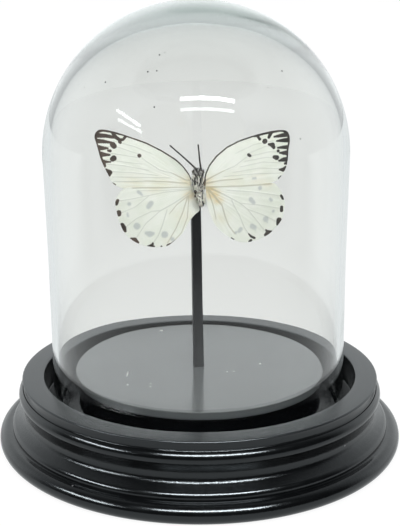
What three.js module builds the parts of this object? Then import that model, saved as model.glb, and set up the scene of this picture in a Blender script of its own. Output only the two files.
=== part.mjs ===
// A dried white butterfly under a glass dome. Millimetres, +Z up, the front faces -Y.
// The origin is the centre of the base's underside. "left" and "right" are the viewer's,
// so the left pieces are on the -X side.
import * as THREE from 'three';

// Glass dome
const domeRadius = 50;
const crownHeight = 148.6;
const domeSpringHeight = 98.9;
const domeWaistIn = 0.15;
const domeSpringOut = 0.3;
const domeLean = 0.5;
const domeOffCentre = -0.25;
const wallLower = 2.0;
const wallSpring = 2.3;
const wallCrown = 5.3;
const rimRound = 0.5;
const domeArcSteps = 11;

// Turned base
const ringHeight = 23.8;
const ringInner = 53.2;
const ringOuter = 59.8;
const beadRadius = 62.3;
const beadHeight = 19.2;
const covedRadius = 58.9;
const covedHeight = 13.9;
const arrisRadius = 64.0;
const arrisHeight = 7.9;
const footRadius = 69.3;
const footHeight = 3.7;
const footRound = 2.5;
const undersideRadius = 68.1;
const bossRadius = 42.4;
const grooveDepth = 10;

// Display disc and post
const discRadius = 43.1;
const discTop = 25.4;
const discThickness = 3;
const discRound = 2.2;
const discDrop = 1.5;
const postFoot = 3.0;
const postHead = 2.6;
const postTop = 91.0;
const postAt = [-0.4, -1.8];
const postLean = 1;

// Butterfly: its centre is where the wing plane crosses the thorax
const specimenAt = [-0.46, -5.0, 89.6];
const specimenYaw = 8;
const wingSweep = 8;
const bodyLean = -3;
const abdomenLean = -7.5;
const wingThickness = 0.4;
const wingLayer = 0.35;
const antennaRadius = 0.15;
const legRadius = 0.18;

// Touching pieces stay this far apart
const fit = 0.3;
const turnSegments = 48;
const wingSteps = 44;

const degrees = (angle) => THREE.MathUtils.degToRad(angle);
const model = new THREE.Group();

function mesh(name, geometry, { color, roughness, metalness = 0, opacity = 1 }) {
  const material = new THREE.MeshStandardMaterial({
    color,
    roughness,
    metalness,
    opacity,
    transparent: opacity < 1,
  });
  const piece = new THREE.Mesh(geometry, material);
  piece.name = name;
  return piece;
}

// Spins a closed half section of [radius, height] points round the Z axis.
function turned(section) {
  const points = section.map(([radius, height]) => new THREE.Vector2(radius, height));
  return new THREE.LatheGeometry(points, turnSegments).rotateX(Math.PI / 2);
}

// Points on a quarter-like arc about a centre, from one angle to another.
function arc(centre, radii, fromAngle, toAngle, steps) {
  return Array.from({ length: steps + 1 }, (_, step) => {
    const angle = degrees(fromAngle + ((toAngle - fromAngle) * step) / steps);
    return [centre[0] + radii[0] * Math.cos(angle), centre[1] + radii[1] * Math.sin(angle)];
  });
}

// Base: foot torus, ogee, cove, bead, flat ring, groove and central boss in one turning.
const grooveFloor = ringHeight - grooveDepth;
const bossTop = discTop - discThickness - fit;

function baseSection() {
  const foot = arc([footRadius - footRound, footHeight], [footRound, footRound + 0.7], -60, 65, 5);
  const cove = [
    [arrisRadius, arrisHeight],
    [arrisRadius - 1.4, arrisHeight + 1.1],
    [arrisRadius - 3.4, arrisHeight + 2.6],
    [covedRadius + 0.4, covedHeight - 1.6],
    [covedRadius, covedHeight],
    [covedRadius + 0.5, covedHeight + 1.6],
    [beadRadius - 1.6, beadHeight - 2.2],
  ];
  const bead = arc([beadRadius - 1.6, beadHeight], [1.6, 1.5], -60, 50, 3);
  const fascia = [
    [ringOuter + 1.2, ringHeight - 2.4],
    [ringOuter + 0.5, ringHeight - 0.6],
    [ringOuter, ringHeight],
  ];
  return [
    [0, 0],
    [undersideRadius, 0],
    ...foot,
    [arrisRadius + 0.9, arrisHeight - 0.7],
    ...cove,
    ...bead,
    ...fascia,
    [ringInner, ringHeight],
    [ringInner, grooveFloor],
    [bossRadius, grooveFloor],
    [bossRadius, bossTop],
    [0, bossTop],
  ];
}

const blackLacquer = { color: 0x0b0b0d, roughness: 0.22 };
model.add(mesh('base', turned(baseSection()), blackLacquer));

// Display disc: a painted board with a rounded upper edge, resting on the boss.
const discUnderside = discTop - discThickness;
const discSection = [
  [0, discUnderside],
  [discRadius, discUnderside],
  [discRadius, discTop - discDrop],
  [discRadius - discRound * 0.3, discTop - discDrop * 0.35],
  [discRadius - discRound, discTop],
  [0, discTop],
];
model.add(mesh('display_disc', turned(discSection), { color: 0x5c5f60, roughness: 0.45 }));

// Post: a square stick, slightly thinner at the top, that leans a little to the left.
const postBottom = discTop + fit;
const postHeight = postTop - postBottom;
const halfDiagonal = Math.SQRT1_2;
const postGeometry = new THREE.CylinderGeometry(
  postHead * halfDiagonal,
  postFoot * halfDiagonal,
  postHeight,
  4,
)
  .translate(0, postHeight / 2, 0)
  .rotateX(Math.PI / 2)
  .rotateZ(degrees(45 + specimenYaw));
const post = mesh('post', postGeometry, { color: 0x18181a, roughness: 0.5 });
post.position.set(...postAt, postBottom);
post.rotation.y = degrees(-postLean);
model.add(post);

// Dome: a blown shell, thickest at the crown, open below, its rim in the base's groove.
// It leans a little, so its rim is lowest on the left.
const rimHeight = grooveFloor + fit + domeRadius * Math.sin(degrees(domeLean));
const springRadius = domeRadius + domeSpringOut;
const innerSpring = springRadius - wallSpring;
const innerRim = domeRadius - wallLower;

function domeSection() {
  const waistHeight = (domeSpringHeight + ringHeight) / 2;
  const outerCrown = arc(
    [0, domeSpringHeight],
    [springRadius, crownHeight - domeSpringHeight],
    0,
    90,
    domeArcSteps,
  );
  const innerCrown = arc(
    [0, domeSpringHeight],
    [innerSpring, crownHeight - wallCrown - domeSpringHeight],
    90,
    0,
    domeArcSteps,
  );
  outerCrown[domeArcSteps][0] = 0;
  innerCrown[0][0] = 0;
  return [
    ...innerCrown,
    [innerRim - domeWaistIn, waistHeight],
    [innerRim, rimHeight + rimRound],
    [innerRim + rimRound, rimHeight],
    [domeRadius - rimRound, rimHeight],
    [domeRadius, rimHeight + rimRound],
    [domeRadius - domeWaistIn, waistHeight],
    ...outerCrown,
  ];
}

const clearGlass = { color: 0xe6ece8, roughness: 0.03, opacity: 0.2 };
const dome = mesh('glass_dome', turned(domeSection()), clearGlass);
dome.position.x = domeOffCentre;
dome.rotation.y = degrees(-domeLean);
model.add(dome);

// Butterfly, underside forward: every piece below is in its own frame, x to the right,
// y backwards and z up, turned by the specimen's yaw.
const specimen = new THREE.Group();
specimen.position.set(...specimenAt);
specimen.rotation.z = degrees(specimenYaw);
model.add(specimen);

function bodyPiece(name, centre, radii, lean, finish) {
  const geometry = new THREE.SphereGeometry(1, 20, 12).rotateX(Math.PI / 2).scale(...radii);
  const piece = mesh(name, geometry, finish);
  piece.position.set(...centre);
  piece.rotation.y = degrees(lean);
  return piece;
}

const thoraxCentre = [-0.33, -1.6, 0.55];
const thoraxRadii = [2.1, 2.0, 3.1];
const headCentre = [-0.55, -2.0, 5.1];
const headRadii = [1.75, 1.3, 1.15];
const abdomenCentre = [0.75, -2.15, -5.4];
const abdomenRadii = [1.15, 1.15, 2.75];
const palehair = { color: 0x8f8f8a, roughness: 0.9 };
specimen.add(bodyPiece('thorax', thoraxCentre, thoraxRadii, bodyLean, palehair));
specimen.add(bodyPiece('head', headCentre, headRadii, bodyLean, { color: 0x4a4743, roughness: 0.8 }));
specimen.add(bodyPiece('abdomen', abdomenCentre, abdomenRadii, abdomenLean, palehair));

// Glue dab: holds the thorax's back to the post's front face.
const postFrontFace = postAt[1] - postHead / 2;
const thoraxBack = specimenAt[1] + thoraxCentre[1] + thoraxRadii[1];
const dabThickness = postFrontFace - thoraxBack - 2 * fit;
const dabRadius = 1.2;
const dabAt = -1.0;
const dabGeometry = new THREE.CylinderGeometry(dabRadius, dabRadius, dabThickness, 20)
  .rotateZ(degrees(specimenYaw))
  .translate(dabAt, thoraxBack + fit + dabThickness / 2, specimenAt[2]);
model.add(mesh('glue_dab', dabGeometry, { color: 0xd8d2c0, roughness: 0.4 }));

// Wings: outlines as [outwards, up] from the specimen's centre, root to root. The
// forewing lies behind the hindwing, so its trailing margin runs on below the hindwing.
const wings = {
  forewing_left: {
    side: -1,
    layer: wingLayer,
    outline: [
      [1.9, 0.6], [3, 3.2], [5.1, 6.1], [7.4, 8.3], [11.7, 11.1], [16.9, 13.8], [22.6, 15.9],
      [27.3, 17.4], [31.1, 18.1], [32.8, 17.4], [33.5, 15.7], [33.1, 13.8], [32.5, 11.4],
      [31.8, 8.5], [30.9, 6.1], [29.5, 3.2], [28.4, 1.2], [27.2, -0.2], [24, -1.4],
      [18, -2.2], [9, -2.4], [2.4, -1.6],
    ],
  },
  hindwing_left: {
    side: -1,
    layer: -wingLayer,
    outline: [
      [2.7, -0.5], [12.9, -0.8], [21.5, -0.9], [24.4, -1.5], [26.1, -3.2], [27.1, -5.7],
      [26.7, -9.1], [25.8, -12.6], [24.6, -15.6], [22.5, -18.1], [19.8, -19.9], [16.4, -20.9],
      [13, -21.1], [10.1, -20.6], [7.6, -18.6], [5.1, -16.1], [3.2, -12.6], [1.3, -10.1],
      [-0.3, -8.6], [-0.1, -7.1], [0.8, -4.7], [1.6, -3.2], [2.6, -2],
    ],
  },
  forewing_right: {
    side: 1,
    layer: wingLayer,
    outline: [
      [1.9, 0.4], [2.5, 3.5], [3.7, 6.1], [6.2, 9.1], [9.7, 11.9], [13.7, 13.9], [18.8, 15.4],
      [23.3, 16.4], [27.4, 16.9], [30.3, 16.6], [31.5, 15.1], [31.8, 12.8], [31.4, 9.9],
      [31.3, 7], [30.8, 4], [29.6, 1.6], [28, 0.2], [25.7, -0.7], [19, -2], [10, -2.5],
      [2.4, -1.8],
    ],
  },
  hindwing_right: {
    side: 1,
    layer: -wingLayer,
    outline: [
      [2.6, -0.6], [9.8, -0.9], [17.5, -1.1], [25.2, -0.8], [27.6, -2], [29.4, -4.9],
      [30.3, -8], [30.1, -11], [29.1, -14], [27.1, -16.4], [24.5, -18.6], [20.8, -20.1],
      [16.6, -20.7], [13, -19.8], [9.4, -17.5], [6.3, -14.5], [4.3, -10.9], [3.2, -7.8],
      [2.7, -4.8], [2.5, -2.4],
    ],
  },
};

function wingPlate(side, outline) {
  const curve = new THREE.SplineCurve(
    outline.map(([outwards, up]) => new THREE.Vector2(side * outwards, up)),
  );
  const plate = new THREE.ExtrudeGeometry(new THREE.Shape(curve.getPoints(wingSteps)), {
    depth: wingThickness,
    steps: 1,
    bevelEnabled: false,
  });
  return plate.translate(0, 0, -wingThickness / 2).rotateX(Math.PI / 2);
}

const wingWhite = { color: 0xeef0e4, roughness: 0.8 };
for (const [name, wing] of Object.entries(wings)) {
  const plate = mesh(name, wingPlate(wing.side, wing.outline), wingWhite);
  plate.geometry.translate(0, wing.layer, 0);
  plate.rotation.z = degrees(wing.side * wingSweep);
  specimen.add(plate);
}

// Antennae and legs: thin round tubes along smooth curves.
function tube(points, radius, steps, sides) {
  const path = new THREE.CatmullRomCurve3(points.map((point) => new THREE.Vector3(...point)));
  const section = new THREE.Shape(
    Array.from({ length: sides }, (_, corner) => {
      const angle = (2 * Math.PI * corner) / sides;
      return new THREE.Vector2(radius * Math.cos(angle), radius * Math.sin(angle));
    }),
  );
  return new THREE.ExtrudeGeometry(section, {
    steps,
    extrudePath: path,
    bevelEnabled: false,
  });
}

const darkChitin = { color: 0x2b2723, roughness: 0.6 };
const antennae = {
  antenna_left: [[-1.2, -3, 6.2], [-3.7, -2.8, 8.1], [-6.9, -2.6, 11.1], [-9.5, -2.4, 13.5]],
  antenna_right: [[0.3, -3, 6.3], [0.1, -2.8, 8.4], [-0.1, -2.6, 11], [-0.35, -2.4, 13.6]],
};
for (const [name, route] of Object.entries(antennae)) {
  specimen.add(mesh(name, tube(route, antennaRadius, 10, 8), darkChitin));
}

// Each leg runs from its hip on the breast to a folded knee and back down to the foot.
const legs = {
  foreleg: { hip: [0.55, -4.3, 2.3], knee: [1.45, -4.5, 4.6], foot: [0.25, -4.85, -0.4] },
  midleg: { hip: [1.1, -4.1, 0.6], knee: [2.15, -3.8, 2.4], foot: [1.5, -4.3, -1.7] },
  hindleg: { hip: [0.8, -4.2, -1.5], knee: [1.9, -3.6, -0.7], foot: [0.9, -4.2, -4.4] },
};
const bodyMiddle = -0.35;
for (const [pair, leg] of Object.entries(legs)) {
  for (const [sideName, side] of [['left', -1], ['right', 1]]) {
    const bend = [leg.hip, leg.knee, leg.foot].map(([x, y, z]) => [bodyMiddle + side * x, y, z]);
    specimen.add(mesh(`${pair}_${sideName}`, tube(bend, legRadius, 10, 6), darkChitin));
  }
}

export default model;
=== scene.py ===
import math
import random

import bmesh
import bpy
import numpy as np
from mathutils import Matrix, Vector, noise


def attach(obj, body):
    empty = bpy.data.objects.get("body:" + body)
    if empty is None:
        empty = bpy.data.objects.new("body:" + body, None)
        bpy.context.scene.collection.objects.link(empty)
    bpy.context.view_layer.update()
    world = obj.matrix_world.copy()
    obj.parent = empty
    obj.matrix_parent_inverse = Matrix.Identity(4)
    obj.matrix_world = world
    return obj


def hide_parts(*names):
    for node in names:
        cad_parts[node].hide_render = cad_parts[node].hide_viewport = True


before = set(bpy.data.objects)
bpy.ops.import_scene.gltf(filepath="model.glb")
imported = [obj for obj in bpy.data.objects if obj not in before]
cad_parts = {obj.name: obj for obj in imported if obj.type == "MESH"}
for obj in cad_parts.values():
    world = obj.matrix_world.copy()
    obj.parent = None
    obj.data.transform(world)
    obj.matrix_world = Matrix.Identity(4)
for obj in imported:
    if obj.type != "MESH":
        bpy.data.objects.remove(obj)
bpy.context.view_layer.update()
mm = 0.001
random.seed(11)
print("frame loaded")


# small helpers

def arcPoints(centre, radii, fromAngle, toAngle, steps):  # one radius for a circle, two for an ellipse
    across, up = radii if isinstance(radii, tuple) else (radii, radii)
    made = []
    for step in range(steps + 1):
        a = math.radians(fromAngle + (toAngle - fromAngle) * step / steps)
        made.append((centre[0] + across * math.cos(a), centre[1] + up * math.sin(a)))
    return made


def smoothed(points, steps):  # passes through every point, evenly rounded between them
    points = [tuple(p) for p in points]
    ends = [points[0]] + points + [points[-1]]
    made = []
    for k in range(len(points) - 1):
        a, b, c, d = (np.array(p, float) for p in ends[k : k + 4])
        for step in range(steps):
            t = step / steps
            made.append(tuple(0.5 * (2 * b + (c - a) * t + (2 * a - 5 * b + 4 * c - d) * t**2
                                     + (3 * b - a - 3 * c + d) * t**3)))
    return made + [points[-1]]


def turnedMesh(section, segments, closed=False):  # spins a half section round the Z axis
    bm = bmesh.new()
    rail = [bm.verts.new((r * mm, 0, z * mm)) for r, z in section]
    edges = [bm.edges.new(pair) for pair in zip(rail, rail[1:])]
    if closed:
        edges.append(bm.edges.new((rail[-1], rail[0])))
    bmesh.ops.spin(bm, geom=rail + edges, cent=(0, 0, 0), axis=(0, 0, 1),
                   angle=math.tau, steps=segments, use_merge=True)
    bmesh.ops.remove_doubles(bm, verts=bm.verts, dist=1e-7)
    bmesh.ops.recalc_face_normals(bm, faces=bm.faces)
    return bm


def finishPiece(name, bm, material, nodes, sharp=35):
    mesh = bpy.data.meshes.new(name)
    bm.to_mesh(mesh)
    bm.free()
    piece = bpy.data.objects.new(name, mesh)
    bpy.context.scene.collection.objects.link(piece)
    settlePiece(piece, material, nodes, sharp)
    return piece


def settlePiece(piece, material, nodes, sharp=35):
    piece.data.polygons.foreach_set("use_smooth", [True] * len(piece.data.polygons))
    if sharp:
        piece.data.set_sharp_from_angle(angle=math.radians(sharp))
    piece.data.materials.clear()
    piece.data.materials.append(material)
    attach(piece, "root")
    if nodes:
        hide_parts(*nodes)


def pieceName(node):  # forewing_left becomes forewingLeft
    first, *rest = node.split("_")
    return first + "".join(word.capitalize() for word in rest)


# material helpers

def newMaterial(name):
    material = bpy.data.materials.new(name)
    material.use_nodes = True
    return material, material.node_tree, material.node_tree.nodes["Principled BSDF"]


def addNode(tree, kind, **settings):
    node = tree.nodes.new(kind)
    for key, value in settings.items():
        if hasattr(node, key):
            setattr(node, key, value)
        else:
            node.inputs[key.replace("_", " ")].default_value = value
    return node


def join(tree, source, target):
    tree.links.new(source, target)


def noiseFrom(tree, coords, scale, detail=3.0, roughness=0.5, squash=None):
    if squash:
        mapping = addNode(tree, "ShaderNodeMapping")
        mapping.inputs["Scale"].default_value = squash
        join(tree, coords, mapping.inputs["Vector"])
        coords = mapping.outputs["Vector"]
    made = addNode(tree, "ShaderNodeTexNoise", Scale=scale, Detail=detail, Roughness=roughness)
    join(tree, coords, made.inputs["Vector"])
    return made.outputs["Fac"]


def spread(tree, value, low, high, toLow=0.0, toHigh=1.0, soft=True):
    made = addNode(tree, "ShaderNodeMapRange", interpolation_type="SMOOTHSTEP" if soft else "LINEAR")
    for socket, number in (("From Min", low), ("From Max", high), ("To Min", toLow), ("To Max", toHigh)):
        made.inputs[socket].default_value = number
    join(tree, value, made.inputs["Value"])
    return made.outputs["Result"]


def feed(tree, given, socket):  # a socket takes a link, a number or a colour
    if isinstance(given, bpy.types.NodeSocket):
        join(tree, given, socket)
    elif isinstance(given, (int, float)):
        socket.default_value = given
    else:
        socket.default_value = (*given, 1)


def blended(tree, factor, first, second, mode="MIX"):  # a colour between two
    made = addNode(tree, "ShaderNodeMix", data_type="RGBA", blend_type=mode)
    for index, given in ((0, factor), (6, first), (7, second)):
        feed(tree, given, made.inputs[index])
    return made.outputs[2]


def chosen(tree, factor, first, second):  # a number between two
    made = addNode(tree, "ShaderNodeMix", data_type="FLOAT")
    for index, given in ((0, factor), (2, first), (3, second)):
        feed(tree, given, made.inputs[index])
    return made.outputs[0]


def counted(tree, operation, first, second=0.0):
    made = addNode(tree, "ShaderNodeMath", operation=operation)
    for socket, given in zip(made.inputs, (first, second)):
        feed(tree, given, socket)
    return made.outputs[0]


def band(tree, value, low, full, fading, high):  # 0, up to 1, and down to 0 again
    rise = spread(tree, value, low, full)
    return counted(tree, "MULTIPLY", rise, spread(tree, value, fading, high, 1.0, 0.0))


def coat(tree, shader, tint, roughness):
    feed(tree, tint, shader.inputs["Base Color"])
    feed(tree, roughness, shader.inputs["Roughness"])


def bumped(tree, height, strength, distance, shader):
    made = addNode(tree, "ShaderNodeBump", Strength=strength, Distance=distance)
    join(tree, height, made.inputs["Height"])
    join(tree, made.outputs["Normal"], shader.inputs["Normal"])
    return made


def makePaintGroup():  # paint skin: slow waves, orange peel and the odd grain of dust under the film
    group = bpy.data.node_groups.new("paintSkin", "ShaderNodeTree")
    face = group.interface
    face.new_socket("Vector", in_out="INPUT", socket_type="NodeSocketVector")
    for name, value in (("Peel Scale", 900.0), ("Peel", 0.5), ("Wave Scale", 120.0), ("Dust Scale", 420.0)):
        face.new_socket(name, in_out="INPUT", socket_type="NodeSocketFloat").default_value = value
    for name in ("Height", "Dust", "Haze"):
        face.new_socket(name, in_out="OUTPUT", socket_type="NodeSocketFloat")
    given, put = group.nodes.new("NodeGroupInput"), group.nodes.new("NodeGroupOutput")
    peel = addNode(group, "ShaderNodeTexNoise", Detail=2.0, Roughness=0.45)
    wave = addNode(group, "ShaderNodeTexNoise", Detail=1.0)
    cells = addNode(group, "ShaderNodeTexVoronoi")
    for node, scale in ((peel, "Peel Scale"), (wave, "Wave Scale"), (cells, "Dust Scale")):
        join(group, given.outputs["Vector"], node.inputs["Vector"])
        join(group, given.outputs[scale], node.inputs["Scale"])
    dust = spread(group, cells.outputs["Distance"], 0.05, 0.1, 1.0, 0.0)
    odd = addNode(group, "ShaderNodeSeparateColor")
    join(group, cells.outputs["Color"], odd.inputs[0])
    dust = counted(group, "MULTIPLY", dust, counted(group, "GREATER_THAN", odd.outputs[0], 0.93))
    height = counted(group, "MULTIPLY", peel.outputs["Fac"], given.outputs["Peel"])
    height = counted(group, "ADD", height, wave.outputs["Fac"])
    height = counted(group, "ADD", height, counted(group, "MULTIPLY", dust, 0.6))
    join(group, height, put.inputs["Height"])
    join(group, dust, put.inputs["Dust"])
    join(group, wave.outputs["Fac"], put.inputs["Haze"])
    return group


paintSkin = makePaintGroup()


def paintFinish(tree, coords, **values):
    made = addNode(tree, "ShaderNodeGroup")
    made.node_tree = paintSkin
    join(tree, coords, made.inputs["Vector"])
    for key, value in values.items():
        made.inputs[key.replace("_", " ")].default_value = value
    return made


def objectCoords(tree):
    return addNode(tree, "ShaderNodeTexCoord").outputs["Object"]


def alongAxis(tree, coords, axis):
    parts = addNode(tree, "ShaderNodeSeparateXYZ")
    join(tree, coords, parts.inputs[0])
    return parts.outputs[axis]


# turned base

base = {
    "segments": 384,
    "underside": 67.0,
    "footCentre": (66.16, 2.95), "footRadius": 3.1, "footArc": (-64, 86),
    "cove": [(65.6, 6.08), (65.1, 6.12), (64.94, 6.2)],
    "arrisCentre": (62.72, 6.75), "arrisRadius": 2.2, "arrisArc": (0, 54),
    "scotia": [(63.98, 8.55), (63.3, 8.87), (62.7, 9.2), (62.1, 9.56), (61.55, 9.93), (61.12, 10.32),
               (60.8, 10.78), (60.6, 11.3), (60.5, 11.9), (60.46, 12.6), (60.54, 13.4), (60.75, 14.3),
               (61.0, 15.2), (61.3, 16.2)],
    "beadCentre": (59.56, 17.75), "beadRadius": 2.7, "beadArc": (-30, 58),
    "quirk": [(60.8, 19.92)],
    "filletCentre": (60.34, 20.06), "filletRadius": 0.38, "filletArc": (-40, 62),
    "fascia": [(60.42, 20.5), (60.36, 21.0), (60.36, 21.7), (60.42, 22.4), (60.55, 22.85)],
    "ringOuter": 60.45, "ringHeight": 23.5, "ringInner": 53.6,
    "ringEase": 0.5, "innerEase": 0.3, "grooveRound": 0.6, "bossEase": 0.2,
    "grooveFloor": 13.8, "boss": 41.4, "bossTop": 22.6,
    "satinAndSheenFrom": (0.0226, 0.0232),  # heights in metres between which gloss turns to the ring's rubbed satin and its lighter tint, a painted sheen
    "sprayBand": (0.0084, 0.0092, 0.0116, 0.0128),  # and where a dry spray roughened the ogee
    "unevenAt": 9.9, "unevenReach": 2.4, "uneven": 0.035,
}

lacquer, tree, shader = newMaterial("blackLacquer")
coords = objectCoords(tree)
skin = paintFinish(tree, coords, Peel_Scale=1300.0, Peel=0.35, Wave_Scale=160.0, Dust_Scale=260.0)
tint = blended(tree, skin.outputs["Haze"], (0.0009, 0.001, 0.0012), (0.002, 0.0022, 0.0024))
tint = blended(tree, skin.outputs["Dust"], tint, (0.1, 0.1, 0.1))
height = alongAxis(tree, coords, "Z")
onRing = spread(tree, height, *base["satinAndSheenFrom"])
# painted sheen: the ring top gets a lighter tint than the mouldings, standing for its grey reflection
tint = blended(tree, onRing, tint, (0.008, 0.009, 0.0095))
gloss = spread(tree, skin.outputs["Haze"], 0.3, 0.7, 0.15, 0.19)
satin = spread(tree, skin.outputs["Haze"], 0.3, 0.7, 0.26, 0.27)
coat(tree, shader, tint, chosen(tree, onRing, gloss, satin))
grit = noiseFrom(tree, coords, 2600.0, 2.0, 0.5)  # strongest on the ogee, faint elsewhere below the ring
sprayed = counted(tree, "MULTIPLY", band(tree, height, *base["sprayBand"]), 0.75)
grit = counted(tree, "MULTIPLY", grit, counted(tree, "ADD", sprayed, 0.12))
relief = counted(tree, "ADD", skin.outputs["Height"], grit)
relief = counted(tree, "MULTIPLY", relief, spread(tree, height, *base["satinAndSheenFrom"], 1.0, 0.05))
bumped(tree, relief, 0.4, 0.00012, shader)
shader.inputs["IOR"].default_value = 1.5
shader.inputs["Specular Tint"].default_value = (0.9, 0.965, 1.0, 1)

section = [(0.0, 0.0), (40.0, 0.0), (base["underside"], 0.0), (base["underside"] + 0.4, 0.1)]
for member, steps, before in (("foot", 32, []), ("arris", 14, base["cove"]),
                              ("bead", 26, smoothed(base["scotia"], 4)[1:]), ("fillet", 10, base["quirk"])):
    section += before
    section += arcPoints(base[member + "Centre"], base[member + "Radius"], *base[member + "Arc"], steps)
section += smoothed(base["fascia"], 3)
ease, inner, top = base["ringEase"], base["innerEase"], base["ringHeight"]
section += arcPoints((base["ringOuter"], top - ease), ease, 4, 90, 8)
section += [(57.5, top), (55.5, top)]
section += arcPoints((base["ringInner"] + inner, top - inner), inner, 90, 180, 5)
turn, floorAt = base["grooveRound"], base["grooveFloor"]
section += [(base["ringInner"], 20.0), (base["ringInner"], floorAt + turn)]
section += arcPoints((base["ringInner"] - turn, floorAt + turn), turn, 0, -90, 4)
section += [(50.0, floorAt), (46.0, floorAt)]
section += arcPoints((base["boss"] + turn, floorAt + turn), turn, 270, 180, 4)
section += [(base["boss"], 18.0), (base["boss"], base["bossTop"] - base["bossEase"])]
section += [(base["boss"] - base["bossEase"], base["bossTop"]), (20.0, base["bossTop"]), (0.0, base["bossTop"])]
bm = turnedMesh(section, base["segments"])
for vert in bm.verts:  # the turner's hand: the ogee is a little uneven under the lacquer
    r, z = math.hypot(vert.co.x, vert.co.y) / mm, vert.co.z / mm
    share = max(0.0, 1 - abs(z - base["unevenAt"]) / base["unevenReach"]) if r > base["ringInner"] else 0.0
    if share:
        wander = noise.noise(Vector((vert.co.x, vert.co.y, vert.co.z * 2.2)) * 260)
        wander += 0.5 * noise.noise(Vector((vert.co.x, vert.co.y, vert.co.z * 1.5)) * 620)
        out = Vector((vert.co.x, vert.co.y, 0)).normalized()
        vert.co += out * wander * base["uneven"] * mm * share
finishPiece("turnedBase", bm, lacquer, ["base"])
print("base turned")


# display disc

disc = {
    "segments": 256,
    "radius": 42.7, "underside": 22.6, "top": 25.4,
    "shoulder": 0.3, "drop": 0.3, "lowerRound": 0.6,
    # dust on the face, the last a pale bead that stands in for a glint at the back: [x, y, half length, half width,
    # turn]
    "flecksAndGlint": [(-24.4, -9.8, 2.6, 0.22, 88), (-23.6, -19.7, 0.3, 0.22, 10), (21.0, -0.2, 0.4, 0.3, 0),
               (9.3, -7.9, 0.36, 0.16, 0), (11.6, -7.6, 0.3, 0.13, 20), (-14.6, 35.0, 0.7, 0.8, 10)],
}

discPaint, tree, shader = newMaterial("greyPaint")
coords = objectCoords(tree)
skin = paintFinish(tree, coords, Peel_Scale=1500.0, Peel=0.3, Wave_Scale=45.0, Dust_Scale=190.0)
grain = noiseFrom(tree, coords, 60.0, 4.0, 0.6)
tint = blended(tree, spread(tree, grain, 0.3, 0.75), (0.094, 0.1, 0.1005), (0.104, 0.1105, 0.111))
tint = blended(tree, skin.outputs["Dust"], tint, (0.42, 0.42, 0.4))
onTop = spread(tree, alongAxis(tree, coords, "Z"), 0.0244, 0.0252)  # painted highlight: the side and rounded rim are painted a little lighter than the face
tint = blended(tree, onTop, (0.112, 0.12, 0.122), tint)
coat(tree, shader, tint, spread(tree, skin.outputs["Haze"], 0.25, 0.75, 0.13, 0.17))
bumped(tree, skin.outputs["Height"], 0.08, 0.00004, shader)

lower = disc["lowerRound"]
section = [(0.0, disc["underside"]), (30.0, disc["underside"]), (disc["radius"] - 2 * lower, disc["underside"])]
section += arcPoints((disc["radius"] - lower, disc["underside"] + lower), lower, -80, 0, 6)
rise = disc["top"] - disc["drop"]
section += arcPoints((disc["radius"] - disc["shoulder"], rise), (disc["shoulder"], disc["drop"]), 0, 90, 12)
section += [(36.0, disc["top"]), (24.0, disc["top"]), (12.0, disc["top"]), (0.0, disc["top"])]
bm = turnedMesh(section, disc["segments"])
finishPiece("paintedDisc", bm, discPaint, ["display_disc"])


# post

post = {
    "at": (-0.4, -1.8), "foot": 3.4, "head": 3.0, "bottom": 25.4, "top": 91.0,
    "lean": 1.0, "yaw": 8.0, "edge": 0.16,
}

postPaint, tree, shader = newMaterial("blackStain")
coords = objectCoords(tree)
skin = paintFinish(tree, coords, Peel_Scale=1400.0, Peel=0.4, Wave_Scale=260.0, Dust_Scale=520.0)
fibres = noiseFrom(tree, coords, 700.0, 4.0, 0.55, squash=(1.0, 1.0, 0.06))
tint = blended(tree, spread(tree, fibres, 0.3, 0.7), (0.004, 0.004, 0.005), (0.009, 0.009, 0.0105))
tint = blended(tree, skin.outputs["Dust"], tint, (0.12, 0.12, 0.11))
coat(tree, shader, tint, spread(tree, fibres, 0.25, 0.75, 0.36, 0.5))
bumped(tree, counted(tree, "ADD", fibres, skin.outputs["Height"]), 0.3, 0.00008, shader)

bm = bmesh.new()
bmesh.ops.create_cube(bm, size=1.0)
tall = post["top"] - post["bottom"]
bmesh.ops.scale(bm, vec=(post["foot"] * mm, post["foot"] * mm, tall * mm), verts=bm.verts)
bmesh.ops.translate(bm, vec=(0, 0, tall * mm / 2), verts=bm.verts)
upper = [v for v in bm.verts if v.co.z > tall * mm / 2]
bmesh.ops.scale(bm, vec=(post["head"] / post["foot"], post["head"] / post["foot"], 1), verts=upper)
bmesh.ops.bevel(bm, geom=bm.edges[:], offset=post["edge"] * mm, segments=3, profile=0.5,
                affect="EDGES", material=-1)
upright = [e for e in bm.edges if abs(e.verts[0].co.z - e.verts[1].co.z) > tall * mm * 0.8]
bmesh.ops.subdivide_edges(bm, edges=upright, cuts=40)
for vert in bm.verts:  # a split stick is never quite straight
    wander = noise.noise(Vector((0.3, 0.7, vert.co.z / mm * 0.07))) * 0.05
    vert.co.x += wander * mm * math.sin(math.pi * min(1.0, vert.co.z / (tall * mm)))
place = (Matrix.Translation(Vector((*post["at"], post["bottom"])) * mm)
         @ Matrix.Rotation(math.radians(-post["lean"]), 4, "Y")
         @ Matrix.Rotation(math.radians(post["yaw"]), 4, "Z"))
bmesh.ops.transform(bm, matrix=place, verts=bm.verts)
finishPiece("stick", bm, postPaint, ["post"], 30)
print("disc and post made")


# glass dome

dome = {
    "segments": 256,
    "radius": 50.0, "spring": 98.9, "crown": 148.6, "waistIn": 0.15, "springOut": 0.3,
    "wallLower": 2.0, "wallSpring": 2.3, "wallCrown": 5.3, "thickening": 2.55, "rimRound": 0.9,
    "lean": 0.5, "offCentre": -0.25,
    "waver": 0.1,
}
rimHeight = base["grooveFloor"] + dome["radius"] * math.sin(math.radians(dome["lean"]))

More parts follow.
